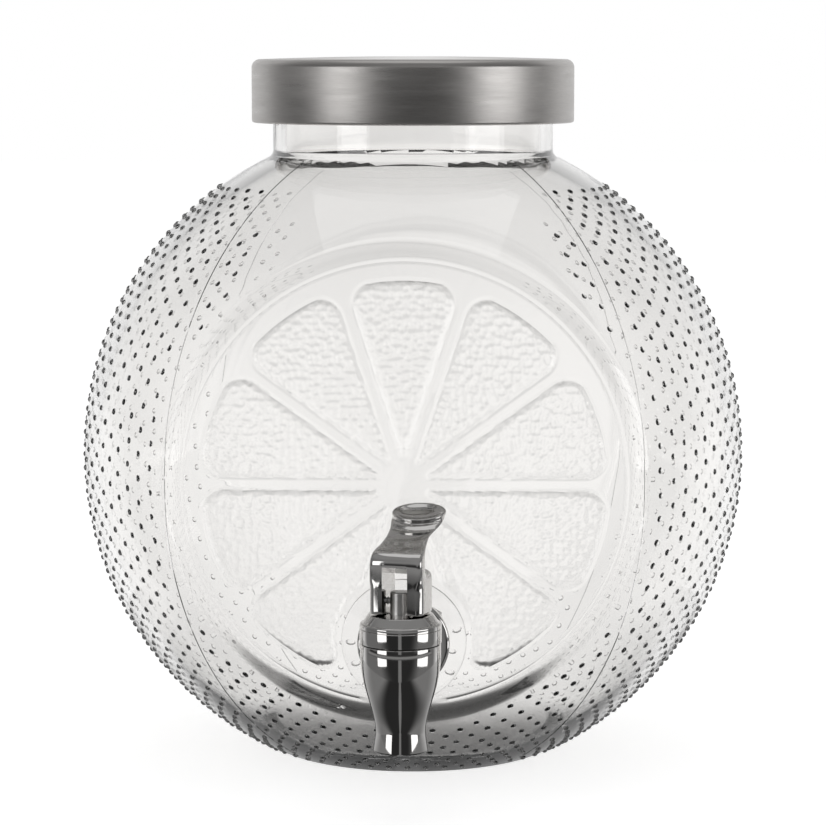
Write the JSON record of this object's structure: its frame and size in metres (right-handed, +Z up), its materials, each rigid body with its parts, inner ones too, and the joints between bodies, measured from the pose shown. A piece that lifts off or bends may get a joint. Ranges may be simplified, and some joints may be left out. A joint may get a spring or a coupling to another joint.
{
  "type": "beverage dispenser",
  "caption": "Clear glass cold-drinks dispenser in the shape of a citrus fruit, with an embossed slice, a brushed-steel screw lid and a chromed lever tap.",
  "frame": {"origin": "where the jar's axis meets the surface that it stands on", "axes": "+Z up along the jar's axis; -Y out of the front, which has the slice and the tap; +X to the right of someone who faces the front"},
  "size_m": [0.236, 0.2154, 0.2487],
  "materials": {
    "clear_glass": "polished, embossed",
    "brushed_steel": "brushed round the rim",
    "tap_chrome": "mirror bright",
    "spring_steel": "drawn bright",
    "white_plastic": "satin",
    "clear_silicone": "matt, milky",
    "black_rubber": "matt"
  },
  "bodies": {
    "jar": {"glass_jar": "clear_glass", "tap_body": "tap_chrome", "tap_bonnet": "tap_chrome", "bonnet_gasket": "clear_silicone", "stem_o_ring": "black_rubber", "front_washer": "clear_silicone", "rear_washer": "clear_silicone", "shank_nut": "white_plastic"},
    "lid_seal": {"lid_gasket": "clear_silicone"},
    "lid": {"lid_shell": "brushed_steel", "lid_liner": "white_plastic"},
    "valve_turn": {"valve_spring": "spring_steel"},
    "valve": {"valve_stem": "tap_chrome", "valve_plug": "clear_silicone", "lever_pin": "spring_steel"},
    "handle": {"lever": "tap_chrome"}
  },
  "joints": [
    {"name": "lid_lift", "type": "slide", "parent": "jar", "child": "lid_seal", "axis": [0, 0, 1], "range_m": [0, 0.12]},
    {"name": "lid_turn", "type": "hinge", "parent": "lid_seal", "child": "lid", "pos_m": [0, 0, 0.2372], "axis": [0, 0, 1], "continuous": true},
    {"name": "lever_swivel", "type": "hinge", "parent": "jar", "child": "valve_turn", "pos_m": [0, -0.1153, 0.0688], "axis": [0, 0, 1], "continuous": true},
    {"name": "stem_lift", "type": "slide", "parent": "valve_turn", "child": "valve", "axis": [0, 0, 1], "range_m": [0, 0.0018], "deforming": ["valve_spring"]},
    {"name": "lever_tilt", "type": "hinge", "parent": "valve", "child": "handle", "pos_m": [0, -0.1153, 0.0727], "axis": [0.9613, -0.2756, 0], "range_deg": [0, 24], "stiffness_Nm_per_rad": 0.16, "springref_deg": -17.19}
  ],
  "couplings": [
    {"joint": "stem_lift", "follows": "lever_tilt", "m_per_rad": 0.0042972}
  ]
}
